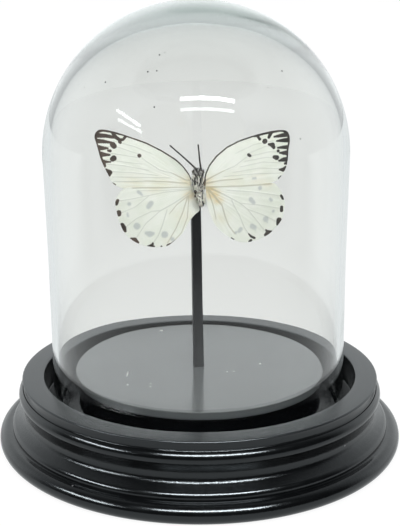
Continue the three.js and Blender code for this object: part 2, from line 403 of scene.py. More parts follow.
glass, tree, shader = newMaterial("clearGlass")
shader.inputs["Base Color"].default_value = (1, 1, 1, 1)
shader.inputs["Roughness"].default_value = 0.0
shader.inputs["IOR"].default_value = 1.5
shader.inputs["Transmission Weight"].default_value = 1.0
inside = addNode(tree, "ShaderNodeVolumeAbsorption", Density=100.0)
inside.inputs["Color"].default_value = (0.838, 0.868, 0.856, 1)
join(tree, inside.outputs["Volume"], tree.nodes["Material Output"].inputs["Volume"])
coords = objectCoords(tree)
ripple = noiseFrom(tree, coords, 38.0, 2.0, 0.4)
bumped(tree, ripple, 0.12, 0.0006, shader)

springRadius = dome["radius"] + dome["springOut"]
innerRim = dome["radius"] - dome["wallLower"]
waist = (dome["spring"] + base["ringHeight"]) / 2
outer = arcPoints((0, dome["spring"]), (springRadius, dome["crown"] - dome["spring"]), 0, 90, 60)
outer[-1] = (0.0, outer[-1][1])
section = []
for step, (r, z) in enumerate(outer):  # the wall thickens late, towards the crown
    a = math.radians(90 * step / 60)
    wall = dome["wallSpring"] + (dome["wallCrown"] - dome["wallSpring"]) * math.sin(a) ** dome["thickening"]
    section.insert(0, (max(0.0, r - math.cos(a) * wall), z - math.sin(a) * wall))
section[0] = (0.0, section[0][1])
section += smoothed([section[-1], (innerRim - dome["waistIn"], waist), (innerRim, rimHeight + 4)], 10)[1:]
section += arcPoints((dome["radius"] - dome["wallLower"] / 2, rimHeight + dome["rimRound"]),
                     (dome["wallLower"] / 2, dome["rimRound"]), 180, 360, 12)
section += smoothed([(dome["radius"], rimHeight + 4), (dome["radius"] - dome["waistIn"], waist),
                     (springRadius, dome["spring"])], 10)[:-1]
section += outer
bm = turnedMesh(section, dome["segments"])
for vert in bm.verts:  # blown glass: the inside wanders a little, the outside stays true
    out = Vector((vert.co.x, vert.co.y, max(0.0, vert.co.z - dome["spring"] * mm)))
    if 30 * mm < vert.co.z and out.length < (dome["radius"] - 1.0) * mm:
        out = out.normalized() if out.length > 0 else Vector((0, 0, 1))
        vert.co += out * noise.noise(vert.co * 34) * dome["waver"] * mm
domePlace = Matrix.Translation((dome["offCentre"] * mm, 0, 0)) @ Matrix.Rotation(math.radians(-dome["lean"]), 4, "Y")
bmesh.ops.transform(bm, matrix=domePlace, verts=bm.verts)
glassDome = finishPiece("glassDome", bm, glass, ["glass_dome"], 0)
glassDome.visible_shadow = False
print("dome blown")


# the butterfly's own frame

specimen = {"at": (-0.46, -5.0, 89.8), "yaw": 8.0, "sweep": 8.0}
toRoom = (Matrix.Translation(Vector(specimen["at"]) * mm)
          @ Matrix.Rotation(math.radians(specimen["yaw"]), 4, "Z") @ Matrix.Scale(mm, 4))


# wings
# Outlines and marks are [outwards, up] from the specimen's centre, marks with a half width last.

wingShape = {"around": 300, "across": 118, "thickness": 0.12, "layer": 0.3, "finer": 0.72}

wings = {
    "forewing_left": {
        "side": -1, "layer": 1,
        "outline": [
            (1.9, 0.6), (3, 3.2), (5.1, 6.1), (7.4, 8.3), (11.7, 11.1), (16.9, 13.8), (22.6, 15.9),
            (27.3, 17.4), (31.1, 18.1), (32.8, 17.4), (33.5, 15.7), (33.1, 13.8), (32.5, 11.4),
            (31.8, 8.5), (30.9, 6.1), (29.5, 3.2), (28.4, 1.2), (27.2, -0.2), (24, -1.4),
            (18, -2.2), (9, -2.4), (2.4, -1.6)],
        "dark": [
            [(33.1, 16.1, .73), (30.1, 16, .54), (27.2, 15.5, .39)],
            [(27.5, 16.8, .39), (26.4, 15.4, .49), (25.2, 14.5, .44), (24.1, 14.8, .32), (23.6, 15.5, .32),
             (23, 16, .29)], [(25.4, 14, .37), (25.1, 13.7, .34)],
            [(33, 14.2, .69), (30.9, 14.1, .54), (28, 13.7, .22)], [(27.6, 13, .83), (27.2, 12.5, .78)],
            [(32.1, 11.9, .78), (30.8, 11.8, .49), (29.3, 11.8, .2)], [(29.1, 11, .29), (28.5, 10.9, .39)],
            [(31.4, 9.7, .83), (30.1, 9.6, .44), (28.7, 9.5, .2)], [(27.8, 8.1, .73), (27.4, 8.4, .83)],
            [(31.1, 7.3, .64), (30.1, 7.2, .34), (28.5, 7.1, .12)], [(30.9, 6.8, .69), (30.5, 5.8, .44)],
            [(30, 4.4, .44), (28.9, 3.6, .78), (29, 2.8, .39)], [(27.9, 0.3, .15), (27.1, -0.2, .2)],
            [(19, 9.3, .54)],
            [(22.6, 16, .24), (24.5, 16.5, .32), (26.5, 17.1, .46), (28.6, 17.6, .39), (30.8, 17.8, .32),
             (32.2, 17.5, .39), (33, 16.4, .34), (33.2, 14.2, .29), (32.6, 12.3, .29), (31.8, 9.9, .29),
             (31.3, 7.7, .29), (30.6, 5.7, .24)]],
        "costa": [(2.1, .9, .20), (2.9, 2.9, .22), (5.1, 5.9, .23), (7.5, 8.1, .24), (11.8, 10.9, .24),
                  (16.9, 13.6, .24), (22.6, 15.7, .26)],
        "grey": [],
        "veins": [
            [(8.3, 3.4, .1), (12.3, 4.5, .1), (16.9, 7.5, .09), (18.6, 9, .08)],
            [(9, 1.9, .08), (20, 2.1, .08), (28.0, 2.2, .08)], [(13, 2.7, .08), (22, 3.7, .08), (28.5, 3.9, .09)],
            [(16, 4.4, .08), (24, 5.9, .08), (30, 6.5, .08)], [(18.2, 6.5, .07), (26, 7.4, .07), (30.8, 8.1, .08)],
            [(18.9, 8.6, .07), (27, 9.9, .07), (31.4, 10.3, .08)], [(19.2, 9.9, .06), (26, 12.2, .07), (32, 12.5, .08)],
            [(14.5, 9.8, .06), (20.4, 12.4, .07), (27.5, 14.3, .07)],
            [(16.4, .9, .1), (22.9, .8, .1), (27.6, .9, .08)]],
        "honey": [
            [(2.8, 1.2, .16), (4.2, 1.3, .16), (8.3, 3.4, .1)], [(3.4, .3, .14), (11, .75, .13), (17.4, .9, .1)]],
        "flush": [(3.0, 0.6, 3.2, .4), (12, .0, 4, .16), (21, -.3, 4, .2)],
    },
    "hindwing_left": {
        "side": -1, "layer": -1,
        "outline": [
            (2.7, -0.5), (12.9, -0.8), (21.5, -0.9), (24.4, -1.5), (26.1, -3.2), (27.1, -5.7),
            (26.7, -9.1), (25.8, -12.6), (24.6, -15.6), (22.5, -18.1), (19.8, -19.9), (16.4, -20.9),
            (13, -21.1), (10.1, -20.6), (7.6, -18.6), (5.1, -16.1), (3.2, -12.6), (1.3, -10.1),
            (-0.3, -8.6), (-0.2, -7.1), (0.2, -4.9), (0.7, -3.2), (1.5, -1.7)],
        "dark": [
            [(26.3, -5.2, .39), (26.8, -6.3, .49)], [(26, -9.2, .64), (26, -9.8, .64)],
            [(25, -13.5, .64), (24.6, -14.5, .83), (24.1, -15.5, .39)],
            [(22.1, -18.2, .29), (21, -18.6, .73), (20, -19.5, .39)],
            [(16.5, -20.8, .24), (15.6, -20.7, .49), (14.6, -20.9, .2)], [(15, -19.8, .2), (15.3, -20.6, .34)],
            [(10.2, -20.5, .24), (9.2, -20, .24)], [(9.1, -20, .12), (7.6, -18.8, .1)], [(12.2, -20.9, .2)]],
        "costa": [],
        "grey": [
            [(19.5, -2.4, .54), (18.9, -2.9, .54), (18.3, -3.4, .29)], [(22.6, -6.4, .64)],
            [(15.4, -6.1, .78), (16.3, -7.3, .78)], [(23.2, -9.5, .24), (23.1, -10.4, .39)],
            [(20.2, -13.9, 1.13)], [(17, -16.3, .64), (16, -16.6, 1.03), (14.9, -16.4, .54)],
            [(11.1, -16.8, 1.13)], [(8.6, -18.3, .69)]],
        "veins": [
            [(2.9, -2.7, .12), (8.3, -6.3, .13), (12.4, -8.6, .12), (15.2, -8.8, .1)],
            [(2.9, -1.5, .06), (11, -2.4, .09), (15.9, -3.5, .09), (21.9, -4.7, .09), (26.3, -5.4, .09)],
            [(10.2, -8.2, .09), (11.7, -13.3, .09), (13.1, -17, .09), (15, -19.8, .1)],
            [(12.4, -8.6, .08), (17.2, -12.9, .07), (20.6, -18.2, .08)],
            [(15.2, -8.8, .07), (20.2, -11.2, .07), (24.4, -14.6, .08)],
            [(15.9, -3.5, .07), (20.7, -7.4, .07), (25.8, -9.6, .07)],
            [(2.8, -1.2, .06), (12.6, -1.9, .06), (20.2, -1.7, .06)]],
        "honey": [
            [(3.4, -3.6, .14), (5.3, -9.7, .13), (7.3, -14.5, .12), (10.1, -19.6, .1)],
            [(3.1, -3.6, .12), (3.6, -11.0, .1), (5.6, -16.2, .1), (8.0, -18.8, .08)],
            [(3.7, -3.9, .14), (7.0, -6.5, .08), (9.4, -9.6, .06)],
            [(2.9, -.75, .12), (12.9, -.98, .14), (21.4, -1.08, .13)]],
        "flush": [(2.6, -3.4, 2.4, .55), (4.5, -10.5, 4.0, .16), (10, -19, 2.2, .12), (14, -.8, 3, .2)],
    },
    "forewing_right": {
        "side": 1, "layer": 1,
        "outline": [
            (1.9, 0.4), (2.5, 3.5), (3.7, 6.1), (6.2, 9.1), (9.7, 11.9), (13.7, 13.9), (18.8, 15.4),
            (23.3, 16.4), (27.4, 16.9), (30.3, 16.6), (31.5, 15.1), (31.8, 12.8), (31.4, 9.9),
            (31.3, 7), (30.8, 4), (29.6, 1.6), (28, 0.2), (25.7, -0.7), (19, -2), (10, -2.5),
            (2.4, -1.8)],
        "dark": [
            [(31, 15.3, .71), (28.7, 15, .54), (26.2, 14.7, .19)],
            [(31.4, 13.3, .75), (29.4, 13.3, .54), (27.1, 13.2, .17)],
            [(24.3, 12.2, .25), (25.6, 11.9, .71), (26.1, 11, .46)],
            [(31.4, 10.8, .63), (29.5, 10.9, .46), (27.5, 10.8, .17)], [(27.7, 9.7, .42)],
            [(31.1, 8.9, .71), (29.8, 8.9, .54), (28.3, 9, .19)], [(26.3, 7.7, .46), (27.2, 7.4, .75)],
            [(31.1, 6.6, .71), (29.8, 6.6, .63), (28.1, 6.3, .21)], [(30.8, 5.3, .42), (30.3, 5.2, .29)],
            [(28.4, 3.2, .23), (29.7, 3.1, .59), (30.6, 3.9, .38)], [(28.2, 0.3, .23), (28.9, 0.9, .15)],
            [(17.3, 8.9, .42), (17.8, 8.5, .36)], [(20.2, 15.2, .29), (21.1, 14.1, .38)], [(22.9, 13.3, .79)],
            [(25, 16.2, .54), (24.3, 14.6, .38)],
            [(19.3, 15.2, .25), (22.5, 16.1, .42), (25.6, 16.6, .5), (28, 16.9, .42), (29.6, 16.7, .46),
             (30.5, 16, .46), (31.2, 14.7, .33), (31.6, 12.6, .29), (31.3, 10.9, .29), (31.1, 9, .29),
             (31.2, 6.6, .25)]],
        "costa": [(2.1, .9, .20), (2.7, 3.3, .22), (3.9, 5.9, .24), (6.3, 8.9, .24), (9.8, 11.7, .25),
                  (13.8, 13.7, .25), (18.8, 15.2, .26)],
        "grey": [[(19.0, .8, .35), (19.8, .8, .4)]],
        "veins": [
            [(9.1, 4, .1), (12.5, 5.2, .1), (16.8, 8.3, .09)],
            [(9, 1.9, .08), (20, 2.3, .08), (29.2, 2.0, .08)], [(12, 3.1, .08), (21, 4.2, .08), (28.5, 3.6, .08)],
            [(14.4, 4.9, .08), (22.4, 6.2, .08), (28.9, 5.6, .08)],
            [(16.0, 6.7, .07), (23.6, 7.8, .07), (29.8, 7.0, .08)],
            [(17.3, 8.3, .07), (24.6, 9.6, .07), (29.9, 9.2, .08)],
            [(17.4, 9.5, .06), (23.4, 11.6, .07), (30, 11.0, .08)],
            [(12.9, 9.6, .06), (19.2, 12.4, .07), (26.0, 13.3, .07)]],
        "honey": [
            [(2.8, 1.1, .2), (4.3, 1.8, .18), (9.1, 4, .1)], [(2.8, .2, .16), (8, .8, .14), (15.4, .9, .08)]],
        "flush": [(2.8, 0.6, 2.8, .5), (12, .1, 4, .14), (21, -.2, 4, .14)],
    },
    "hindwing_right": {
        "side": 1, "layer": -1,
        "outline": [
            (2.6, -0.6), (9.8, -0.9), (17.5, -1.1), (25.2, -0.8), (27.6, -2), (29.4, -4.9),
            (30.3, -8), (30.1, -11), (29.1, -14), (27.1, -16.4), (24.5, -18.6), (20.8, -20.1),
            (16.6, -20.7), (13, -19.8), (9.4, -17.5), (6.3, -14.5), (4.3, -10.9), (3.2, -7.8),
            (2.7, -4.8), (2.5, -2.4)],
        "dark": [
            [(28.9, -5.2, .29), (29.6, -6.2, .36)], [(29.2, -9.2, .46), (29.2, -10.3, .5)],
            [(28.4, -13.7, .84), (28.1, -15, .54)],
            [(25.7, -17.7, .38), (24.6, -17.8, .71), (23.6, -18.6, .42)],
            [(23.8, -16.9, .17), (24.2, -17.5, .29)],
            [(17.6, -17.8, .1), (18.5, -18.8, .25), (19.7, -19.4, .29)],
            [(18.4, -20.2, .42), (17.8, -20.5, .17)], [(11.5, -18.9, .17), (12.2, -19.4, .17)]],
        "costa": [],
        "grey": [
            [(21.3, -2.2, .71)], [(18.1, -5.8, .75), (19.1, -7, .71)], [(25, -6.1, .46), (25.4, -6.6, .54)],
            [(26.2, -10.4, .5)], [(23.6, -13, 1.)], [(24.1, -14.1, .29)],
            [(18.8, -15.2, .84), (19.6, -15.7, .75)], [(20, -16.6, .21)],
            [(14.7, -16, .75), (14.2, -16.6, .63)], [(13.1, -17, .46)]],
        "veins": [
            [(4.3, -1.4, .1), (8.6, -3.5, .13), (11.2, -5, .13), (14.4, -6.9, .12), (17, -9.1, .1), (20.9, -13.9, .09),
             (23.9, -17.8, .08)],
            [(11.2, -5, .11), (12.4, -7.9, .1)],
            [(12.4, -7.9, .08), (14.4, -11.4, .08), (15.9, -15.2, .1), (18.3, -18.9, .1)],
            [(17, -9.1, .08), (23, -11.6, .08), (28.1, -14.4, .08)],
            [(14.4, -6.9, .07), (21.6, -8, .07), (29.2, -9.6, .08)],
            [(9.8, -2.2, .07), (18.4, -3.2, .08), (28.8, -5.2, .08)],
            [(8.2, -8.4, .08), (9.4, -12.2, .09), (11.3, -15.4, .1), (13.2, -17.6, .1)]],
        "honey": [
            [(2.9, -.8, .3), (8.6, -.98, .2), (14.3, -1.22, .17), (20.1, -1.15, .18), (25.2, -.98, .22)],
            [(3.2, -1.4, .3), (5.4, -3.9, .28), (8, -7.1, .18), (9.2, -11.1, .12), (10.4, -14.3, .1),
             (12.7, -17.4, .1)],
            [(3.2, -1.8, .22), (4.9, -6.8, .14), (6, -11.8, .1)], [(4.3, -1.4, .22), (7.4, -2.8, .12)]],
        "flush": [(3.6, -1.7, 2.0, 1.3), (5.0, -3.4, 2.2, 1.2), (6.6, -5.4, 1.8, .8),
                  (7.6, -11.5, 3.2, .2), (24.2, -1.2, 2.2, .3)],
    },
}


def chainDistance(x, y, chain):  # distance outside a run of points joined by tapering strokes
    best = np.full(x.shape, 1e9)
    for a, b in zip(chain, chain[1:] if len(chain) > 1 else chain):
        along = np.array([b[0] - a[0], b[1] - a[1]])
        size = max(1e-9, along @ along)
        t = np.clip(((x - a[0]) * along[0] + (y - a[1]) * along[1]) / size, 0, 1)
        d = np.hypot(x - a[0] - along[0] * t, y - a[1] - along[1] * t) - (a[2] + (b[2] - a[2]) * t)
        best = np.minimum(best, d)
    return best


def nearMarks(x, y, chains, reach, swell=0.0):  # 0.5 on a mark's edge, rising inwards
    best = np.full(x.shape, 1e9)
    for chain in chains:
        best = np.minimum(best, chainDistance(x, y, chain))
    return np.clip(0.5 - (best - swell) / (2 * reach), 0, 1)


wingScales, tree, shader = newMaterial("wingScales")
coords = objectCoords(tree)
marks = addNode(tree, "ShaderNodeAttribute", attribute_name="marks")
tones = addNode(tree, "ShaderNodeAttribute", attribute_name="tones")
markParts, toneParts = addNode(tree, "ShaderNodeSeparateColor"), addNode(tree, "ShaderNodeSeparateColor")
join(tree, marks.outputs["Color"], markParts.inputs[0])
join(tree, tones.outputs["Color"], toneParts.inputs[0])
scales = noiseFrom(tree, coords, 4200.0, 2.0, 0.6)
cloud = noiseFrom(tree, coords, 190.0, 3.0, 0.55)
ragged = counted(tree, "MULTIPLY", counted(tree, "SUBTRACT", noiseFrom(tree, coords, 2300.0, 3.0, 0.6), 0.5), 0.34)
ground = blended(tree, spread(tree, cloud, 0.32, 0.68), (0.905, 0.925, 0.815), (0.97, 0.975, 0.89))
veined = spread(tree, toneParts.outputs[0], 0.1, 0.62)
honeyed = spread(tree, markParts.outputs[2], 0.1, 0.62)
spotted = counted(tree, "ADD", markParts.outputs[1], counted(tree, "MULTIPLY", ragged, 1.2))
spotted = spread(tree, spotted, 0.22, 0.78)
for mask, strength, colour in ((toneParts.outputs[1], 0.85, (0.82, 0.62, 0.27)), (veined, 0.42, (0.44, 0.45, 0.39)),
                               (honeyed, 0.24, (0.5, 0.38, 0.16)), (spotted, 0.62, (0.47, 0.5, 0.5))):
    ground = blended(tree, counted(tree, "MULTIPLY", mask, strength), ground, colour)
inked = counted(tree, "ADD", markParts.outputs[0], ragged)
deep = blended(tree, spread(tree, cloud, 0.35, 0.65), (0.02, 0.016, 0.013), (0.055, 0.045, 0.037))
brown = blended(tree, spread(tree, cloud, 0.35, 0.65), (0.032, 0.019, 0.013), (0.1, 0.066, 0.048))
deep = blended(tree, toneParts.outputs[2], deep, brown)
ground = blended(tree, spread(tree, inked, 0.36, 0.62), ground, deep)
ground = blended(tree, counted(tree, "MULTIPLY", spread(tree, scales, 0.35, 0.7), 0.07), ground, (0.6, 0.6, 0.55))
coat(tree, shader, ground, 0.62)
shader.inputs["Sheen Weight"].default_value = 0.08
bumped(tree, counted(tree, "ADD", scales, counted(tree, "MULTIPLY", toneParts.outputs[0], 1.5)), 0.25, 0.00005, shader)


def wingPiece(name, wing):
    around, across = wingShape["around"], wingShape["across"]
    bm = bmesh.new()
    bmesh.ops.create_grid(bm, x_segments=around, y_segments=across, size=0.5)
    mesh = bpy.data.meshes.new(name)
    bm.to_mesh(mesh)
    bm.free()
    co = np.zeros(len(mesh.vertices) * 3)
    mesh.vertices.foreach_get("co", co)
    co = co.reshape(-1, 3)
    u, v = co[:, 0] + 0.5, co[:, 1] + 0.5
    rim = np.array(smoothed(wing["outline"], 24))
    step = np.hypot(*np.diff(rim, axis=0).T)
    middle = np.hypot(*((rim[1:] + rim[:-1]) / 2 - rim[0]).T)
    travel = np.concatenate([[0], np.cumsum(step * (0.35 + middle / 30))])  # closer together far from the root
    travel /= travel[-1]
    x, y = np.interp(u, travel, rim[:, 0]), np.interp(u, travel, rim[:, 1])
    rootX, rootY = rim[0][0] + (rim[-1][0] - rim[0][0]) * u, rim[0][1] + (rim[-1][1] - rim[0][1]) * u
    out = v ** wingShape["finer"]
    x, y = rootX + (x - rootX) * out, rootY + (y - rootY) * out
    vein = nearMarks(x, y, wing["veins"] + wing["honey"], 0.17)
    costa = nearMarks(x, y, [wing["costa"]], 0.3) if wing["costa"] else np.zeros_like(x)
    dark = np.maximum(nearMarks(x, y, wing["dark"], 0.34, 0.13), costa)
    flush = np.zeros_like(x)
    for fx, fy, size, strength in wing["flush"]:
        flush = np.maximum(flush, strength * np.exp(-(((x - fx) ** 2 + ((y - fy) * 1.4) ** 2) / size**2)))
    streaky = np.array([noise.noise(Vector((a * 3.1, r * 1.2, wing["side"] * 5.0)))
                        for a, r in zip(np.degrees(np.arctan2(y + 0.8, x - 1.0)) * 0.12, np.hypot(x, y) * 0.08)])
    flush = np.clip(flush * (1 + 0.9 * streaky), 0, 1)
    depth = 0.22 * np.sin(x / 34 * math.pi) - 0.10 * np.cos(y / 9.0) + 0.10 * np.sin(x / 6 + y / 11)
    depth = depth * np.clip(x / 6, 0, 1)
    depth += wing["layer"] * wingShape["layer"] - 0.05 * (vein + costa) + 0.05 * streaky * np.clip(x / 8, 0, 1)
    turn = Matrix.Rotation(math.radians(wing["side"] * specimen["sweep"]), 4, "Z")
    place = np.array(toRoom @ turn)
    local = np.stack([wing["side"] * x, depth, y], 1)
    co = local @ place[:3, :3].T + place[:3, 3]
    mesh.vertices.foreach_set("co", co.ravel())
    grey, honey = nearMarks(x, y, wing["grey"], 0.6), nearMarks(x, y, wing["honey"], 0.24)
    browner = np.full_like(x, 1.0 if wing["side"] < 0 else 0.15)
    for attribute, layers in (("marks", (dark, grey, honey)), ("tones", (vein, flush, browner))):
        stored = mesh.attributes.new(attribute, "FLOAT_COLOR", "POINT")
        stored.data.foreach_set("color", np.stack([*layers, np.ones_like(x)], 1).astype(np.float32).ravel())
    bm = bmesh.new()
    bm.from_mesh(mesh)
    backs = bmesh.ops.extrude_face_region(bm, geom=bm.faces[:], use_keep_orig=True)["geom"]
    backwards = Vector(place[:3, 1]).normalized() * wingShape["thickness"] * mm
    bmesh.ops.translate(bm, vec=backwards, verts=[g for g in backs if isinstance(g, bmesh.types.BMVert)])
    bmesh.ops.recalc_face_normals(bm, faces=bm.faces)
    bpy.data.meshes.remove(mesh)
    return finishPiece(pieceName(name), bm, wingScales, [name], 50)


for name, wing in wings.items():
    wingPiece(name, wing)
print("wings spread")


# body

body = {
    "thorax": {"centre": (-0.35, -1.6, 0.6), "radii": (2.35, 2.0, 3.2), "lean": -3.0, "hairs": 1000, "length": 0.8},
    "head": {"centre": (-0.35, -1.9, 4.25), "radii": (2.1, 1.3, 1.25), "lean": -3.0, "hairs": 520, "length": 0.6},
    "abdomen": {"centre": (0.5, -2.1, -4.3), "radii": (1.55, 1.25, 2.4), "lean": -9.0, "hairs": 460, "length": 0.7},
    # dark and rusty runs on the breast: [across, up, half width], seen from below the insect
    "darkRuns": [
        [(-2.3, 4.6, .22), (-1.9, 5.4, .22), (-.9, 5.85, .2), (.2, 6.0, .2)], [(-1.25, 6.1, .28), (-.85, 4.9, .22)],
        [(-1.2, 5.6, .2), (-.4, 4.0, .16), (.1, 2.8, .2), (.3, 1.2, .22)], [(.7, 6.1, .32), (.6, 4.9, .25)],
        [(1.85, 5.6, .2), (1.1, 4.0, .16), (.55, 2.2, .18)], [(-1.55, 2.7, .2), (-1.6, 1.5, .28), (-1.55, .7, .22)],
        [(.3, 1.7, .22), (-.15, .3, .25)], [(1.4, -1.5, .22), (1.25, -2.5, .2)], [(-.75, 3.2, .1), (-.75, 1.0, .12)],
        [(-.5, -3.0, .15), (.1, -3.4, .1)], [(1.0, -4.9, .22), (1.5, -6.6, .36)], [(.9, .1, .12), (.2, -.3, .14)],
        [(.95, -2.9, .12), (.9, -3.9, .18)], [(-.3, -1.1, .12), (.4, -1.3, .08)], [(-.2, -4.2, .08), (.2, -5.2, .08)]],
    "rustRuns": [[(-1.45, 3.9, .3)], [(1.75, 1.7, .3), (1.65, .4, .3)], [(-1.35, -1.9, .22), (-1.15, -2.0, .22)]],
    "rustTufts": [(-1.35, -1.9), (-1.6, -2.9), (-1.45, -3.0), (-0.85, -4.0)], "tuftHairs": 16,
    # hairs, the box they start in, how far they lean across and in depth, length, tint, width
    "fringes": [
        (110, ((1.2, 2.1), (-2.3, -1.2), (-4.6, -2.0)), ((-.1, .35), (-.2, .1)), (1.8, 3.6), (0.8, 0.81, 0.73), 0.03),
        (120, ((-1.5, .2), (-2.9, -2.0), (-3.9, -2.0)), ((.0, .3), (-.12, .06)), (1.4, 2.9), (0.84, 0.82, 0.71), 0.04)],
}

bodyHair, tree, shader = newMaterial("bodyHair")
coords = objectCoords(tree)
tints = addNode(tree, "ShaderNodeAttribute", attribute_name="tint")
fleck = noiseFrom(tree, coords, 2600.0, 3.0, 0.6)
tint = blended(tree, spread(tree, fleck, 0.3, 0.72), tints.outputs["Color"], (0.42, 0.41, 0.38), "MULTIPLY")
tint = blended(tree, 0.62, tint, tints.outputs["Color"])
coat(tree, shader, tint, 0.75)
shader.inputs["Sheen Weight"].default_value = 0.15
bumped(tree, fleck, 0.4, 0.00008, shader)


def bodyTint(x, z, kind):
    point = (np.array([x]), np.array([z]))
    if kind == "head":
        shade = 0.5 + 0.25 * noise.noise(Vector((x * 2.4, z * 2.4, 4.0)))
        if float(nearMarks(*point, body["darkRuns"], 0.3)[0]) > 0.5:
            shade = 0.022
        return (shade, shade * 0.98, shade * 0.94)
    dark = float(nearMarks(*point, body["darkRuns"], 0.3)[0])
    rust = float(nearMarks(*point, body["rustRuns"], 0.3)[0])
    pale = 0.82 + 0.26 * noise.noise(Vector((x * 1.9, z * 0.8, 1.0)))
    if rust > 0.5:
        return (0.16, 0.085, 0.035)
    if dark > 0.45 + 0.2 * noise.noise(Vector((x * 3, z * 1.5, 2.0))):
        return (0.022, 0.02, 0.018)
    return (pale, pale * 0.975, pale * 0.87)


def hairAt(bm, layer, root, direction, length, tint, width=0.045):
    turn = direction.to_track_quat("Z", "Y").to_matrix().to_4x4()
    made = bmesh.ops.create_cone(bm, segments=3, radius1=width, radius2=width * 0.15, depth=length, cap_ends=True,
                                 matrix=Matrix.Translation(root + direction * length * 0.45) @ turn)
    for vert in made["verts"]:
        vert[layer] = (*tint, 1)


def bodyPiece(name, settings):
    bm = bmesh.new()
    layer = bm.verts.layers.float_color.new("tint")
    bmesh.ops.create_uvsphere(bm, u_segments=56, v_segments=40, radius=1)
    place = (Matrix.Translation(settings["centre"]) @ Matrix.Rotation(math.radians(settings["lean"]), 4, "Y")
             @ Matrix.Diagonal((*settings["radii"], 1)))
    bmesh.ops.transform(bm, matrix=place, verts=bm.verts)
    centre = Vector(settings["centre"])
    for vert in bm.verts:
        away = (vert.co - centre).normalized()
        lumps = 0.16 * noise.noise(vert.co * 0.9) + 0.07 * noise.noise(vert.co * 3.1)
        if name == "abdomen":  # rings of the hind body
            lumps += 0.05 * math.sin((vert.co.z - centre.z) * 9.5)
        vert.co += away * (lumps - 0.1)
        vert[layer] = (*bodyTint(vert.co.x, vert.co.z, name), 1)
    bm.normal_update()
    skinVerts = bm.verts[:]
    down = Vector((0.05, -0.1, -1)) if name != "head" else Vector((0, -0.6, 0.6))
    for k in range(settings["hairs"]):
        root = random.choice(skinVerts)
        jitter = Vector((random.gauss(0, .25), random.gauss(0, .25), random.gauss(0, .25)))
        direction = (root.normal * 0.55 + down * 0.75 + jitter).normalized()
        tint = [c * random.uniform(0.8, 1.25) for c in bodyTint(root.co.x, root.co.z, name)]
        hairAt(bm, layer, root.co - root.normal * 0.03, direction, settings["length"] * random.uniform(0.5, 1.2), tint)
    if name == "abdomen":  # the fringe beside the tip
        for hairs, room, leanings, length, tint, width in body["fringes"]:
            for k in range(hairs):
                root = Vector([random.uniform(*span) for span in room])
                direction = Vector((*(random.uniform(*span) for span in leanings), -1)).normalized()
                hairAt(bm, layer, root, direction, random.uniform(*length), tint, width)
        for x, z in body["rustTufts"]:
            for k in range(body["tuftHairs"]):
                root = Vector((random.gauss(x, .1), random.uniform(-3.3, -3.0), random.gauss(z, .1)))
                direction = Vector((random.uniform(-.3, .5), random.uniform(-.4, .1), -1)).normalized()
                hairAt(bm, layer, root, direction, random.uniform(0.4, 0.7), (0.13, 0.07, 0.028), 0.06)
    bmesh.ops.transform(bm, matrix=toRoom, verts=bm.verts)
    return finishPiece(name + "Fur", bm, bodyHair, [name], 0)


for name in ("thorax", "head", "abdomen"):
    bodyPiece(name, body[name])
print("body haired")


# eyes and palps

face = {
    "eyeAt": (1.5, -2.3, 4.5), "eye": (0.42, 0.5, 0.6),
    "palp": [(.35, -3.2, 4.6, .28), (.42, -3.9, 5.3, .22), (.5, -4.3, 6.0, .08)], "palpMiddle": -0.55,
}

eyeGloss, tree, shader = newMaterial("eyeFacets")
facets = addNode(tree, "ShaderNodeTexVoronoi", Scale=9000.0)
join(tree, objectCoords(tree), facets.inputs["Vector"])
eyeTint = blended(tree, spread(tree, facets.outputs["Distance"], 0.1, 0.7), (0.07, 0.045, 0.03), (0.02, 0.014, 0.01))
coat(tree, shader, eyeTint, 0.28)
bumped(tree, facets.outputs["Distance"], 0.3, 0.00003, shader)
bm = bmesh.new()
for side in (-1, 1):
    made = bmesh.ops.create_uvsphere(bm, u_segments=36, v_segments=24, radius=1)
    across, depth, up = face["eyeAt"]
    place = (Matrix.Translation((body["head"]["centre"][0] + side * across, depth, up))
             @ Matrix.Diagonal((*face["eye"], 1)))
    bmesh.ops.transform(bm, matrix=toRoom @ place, verts=made["verts"])
finishPiece("eyes", bm, eyeGloss, [], 0)


# antennae, legs and palps

chitin, tree, shader = newMaterial("darkChitin")
coords = objectCoords(tree)
rings = noiseFrom(tree, coords, 1500.0, 3.0, 0.6)
tint = blended(tree, spread(tree, rings, 0.35, 0.65), (0.022, 0.019, 0.017), (0.06, 0.052, 0.047))
coat(tree, shader, tint, spread(tree, rings, 0.3, 0.7, 0.4, 0.6))
bumped(tree, rings, 0.3, 0.00004, shader)

limbs = {
    "antennae": {
        "antenna_left": [(-1.1, -3, 5.5), (-3.7, -2.8, 8.1), (-6.9, -2.6, 11.1), (-9.5, -2.4, 13.5)],
        "antenna_right": [(0.45, -3, 5.5), (0.1, -2.8, 8.4), (-0.1, -2.6, 11), (-0.35, -2.4, 13.6)],
    },
    "legs": {
        "foreleg": [(.55, -4.3, 2.3), (1.0, -4.5, 3.5), (1.45, -4.5, 4.6), (1.0, -4.75, 2.2), (.25, -4.85, -.4)],
        "midleg": [(1.1, -4.1, .6), (1.65, -4.0, 1.6), (2.15, -3.8, 2.4), (1.95, -4.1, .4), (1.5, -4.3, -1.7)],
        "hindleg": [(.7, -4.0, -1.5), (1.05, -3.8, -1.2), (1.3, -3.5, -1.1), (1.15, -3.6, -2.4), (.7, -3.7, -3.8)],
    },
    # half widths along the way, as [share of the length, half width]
    "antennaWidths": [(0, .42), (.08, .32), (.5, .27), (.85, .24), (.95, .28), (1, .18)],
    "legWidths": [(0, .13), (.2, .16), (.48, .1), (.55, .12), (1, .06)],
    "middle": -0.35,
}


